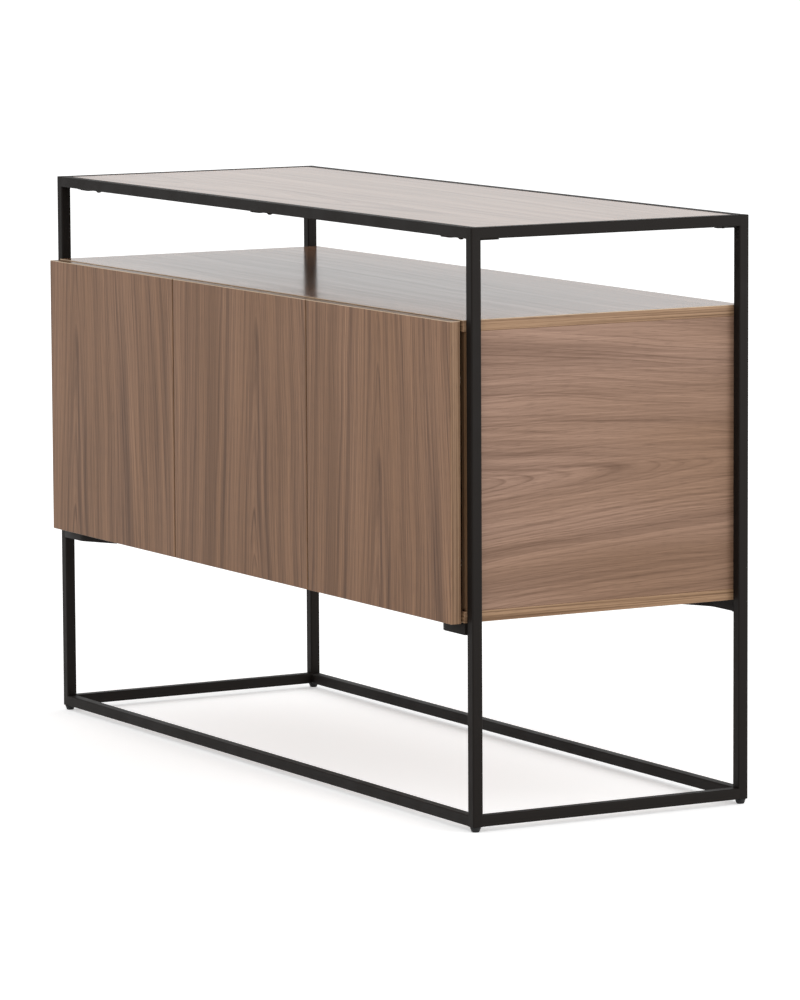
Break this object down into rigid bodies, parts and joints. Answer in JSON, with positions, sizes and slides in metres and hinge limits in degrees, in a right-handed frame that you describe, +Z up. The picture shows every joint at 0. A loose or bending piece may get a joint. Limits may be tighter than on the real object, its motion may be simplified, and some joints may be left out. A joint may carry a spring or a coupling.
{
  "type": "office credenza",
  "caption": "Walnut-veneered credenza with handle-less doors on concealed hinges, hung in an open black square-tube frame with a flush top board and an open shelf space below it.",
  "frame": {"origin": "on the floor, below the middle of the whole piece", "axes": "+X to the right seen from the front, -Y out of the front, +Z up"},
  "size_m": [1.2, 0.4474, 0.79],
  "materials": {
    "black_paint": "fine powder coat, satin",
    "walnut": "satin lacquered veneer",
    "nickel": "bright nickel plate",
    "grey_plastic": "moulded",
    "white_plastic": "moulded",
    "black_plastic": "moulded"
  },
  "bodies": {
    "cabinet": {"leg_front_left": "black_paint", "leg_front_right": "black_paint", "leg_back_left": "black_paint", "leg_back_right": "black_paint", "rail_bottom_front": "black_paint", "rail_bottom_back": "black_paint", "rail_bottom_left": "black_paint", "rail_bottom_right": "black_paint", "rail_top_front": "black_paint", "rail_top_back": "black_paint", "rail_top_left": "black_paint", "rail_top_right": "black_paint", "bracket_front_left": "black_paint", "bracket_front_right": "black_paint", "bracket_back_left": "black_paint", "bracket_back_right": "black_paint", "top_board": "walnut", "cabinet_top": "walnut", "cabinet_bottom": "walnut", "cabinet_side_left": "walnut", "cabinet_side_right": "walnut", "cabinet_partition": "walnut", "cabinet_back": "walnut", "shelf_left": "walnut", "shelf_right": "walnut", "hinge_arm_left_lower": "nickel", "hinge_arm_left_upper": "nickel", "hinge_arm_middle_lower": "nickel", "hinge_arm_middle_upper": "nickel", "hinge_arm_right_lower": "nickel", "hinge_arm_right_upper": "nickel", "hinge_plate_left_lower": "nickel", "hinge_plate_left_upper": "nickel", "hinge_plate_middle_lower": "nickel", "hinge_plate_middle_upper": "nickel", "hinge_plate_right_lower": "nickel", "hinge_plate_right_upper": "nickel", "latch_housing_left": "grey_plastic", "latch_housing_middle": "grey_plastic", "latch_housing_right": "grey_plastic"},
    "left_door": {"door_left": "walnut", "hinge_cup_left_lower": "nickel", "hinge_cup_left_upper": "nickel"},
    "middle_door": {"door_middle": "walnut", "hinge_cup_middle_lower": "nickel", "hinge_cup_middle_upper": "nickel"},
    "right_door": {"door_right": "walnut", "hinge_cup_right_lower": "nickel", "hinge_cup_right_upper": "nickel"},
    "left_plunger": {"latch_plunger_left": "white_plastic"},
    "middle_plunger": {"latch_plunger_middle": "white_plastic"},
    "right_plunger": {"latch_plunger_right": "white_plastic"},
    "front_left_glide": {"glide_front_left": "black_plastic"},
    "front_right_glide": {"glide_front_right": "black_plastic"},
    "back_left_glide": {"glide_back_left": "black_plastic"},
    "back_right_glide": {"glide_back_right": "black_plastic"}
  },
  "joints": [
    {"name": "left_door_turn", "type": "hinge", "parent": "cabinet", "child": "left_door", "pos_m": [-0.576, -0.21795, 0.4715], "axis": [0, 0, -1], "range_deg": [0, 90]},
    {"name": "middle_door_turn", "type": "hinge", "parent": "cabinet", "child": "middle_door", "pos_m": [0.187, -0.21795, 0.4715], "axis": [0, 0, 1], "range_deg": [0, 90]},
    {"name": "right_door_turn", "type": "hinge", "parent": "cabinet", "child": "right_door", "pos_m": [0.576, -0.21795, 0.4715], "axis": [0, 0, 1], "range_deg": [0, 90]},
    {"name": "left_plunger_slide", "type": "slide", "parent": "cabinet", "child": "left_plunger", "axis": [0, -1, 0], "range_m": [0, 0.016]},
    {"name": "middle_plunger_slide", "type": "slide", "parent": "cabinet", "child": "middle_plunger", "axis": [0, -1, 0], "range_m": [0, 0.016]},
    {"name": "right_plunger_slide", "type": "slide", "parent": "cabinet", "child": "right_plunger", "axis": [0, -1, 0], "range_m": [0, 0.016]},
    {"name": "front_left_glide_screw", "type": "slide", "parent": "cabinet", "child": "front_left_glide", "axis": [0, 0, -1], "range_m": [0, 0.012]},
    {"name": "front_right_glide_screw", "type": "slide", "parent": "cabinet", "child": "front_right_glide", "axis": [0, 0, -1], "range_m": [0, 0.012]},
    {"name": "back_left_glide_screw", "type": "slide", "parent": "cabinet", "child": "back_left_glide", "axis": [0, 0, -1], "range_m": [0, 0.012]},
    {"name": "back_right_glide_screw", "type": "slide", "parent": "cabinet", "child": "back_right_glide", "axis": [0, 0, -1], "range_m": [0, 0.012]}
  ],
  "couplings": [
    {"joint": "left_plunger_slide", "follows": "left_door_turn", "m_per_rad": 0.01},
    {"joint": "middle_plunger_slide", "follows": "middle_door_turn", "m_per_rad": 0.01},
    {"joint": "right_plunger_slide", "follows": "right_door_turn", "m_per_rad": 0.01}
  ]
}
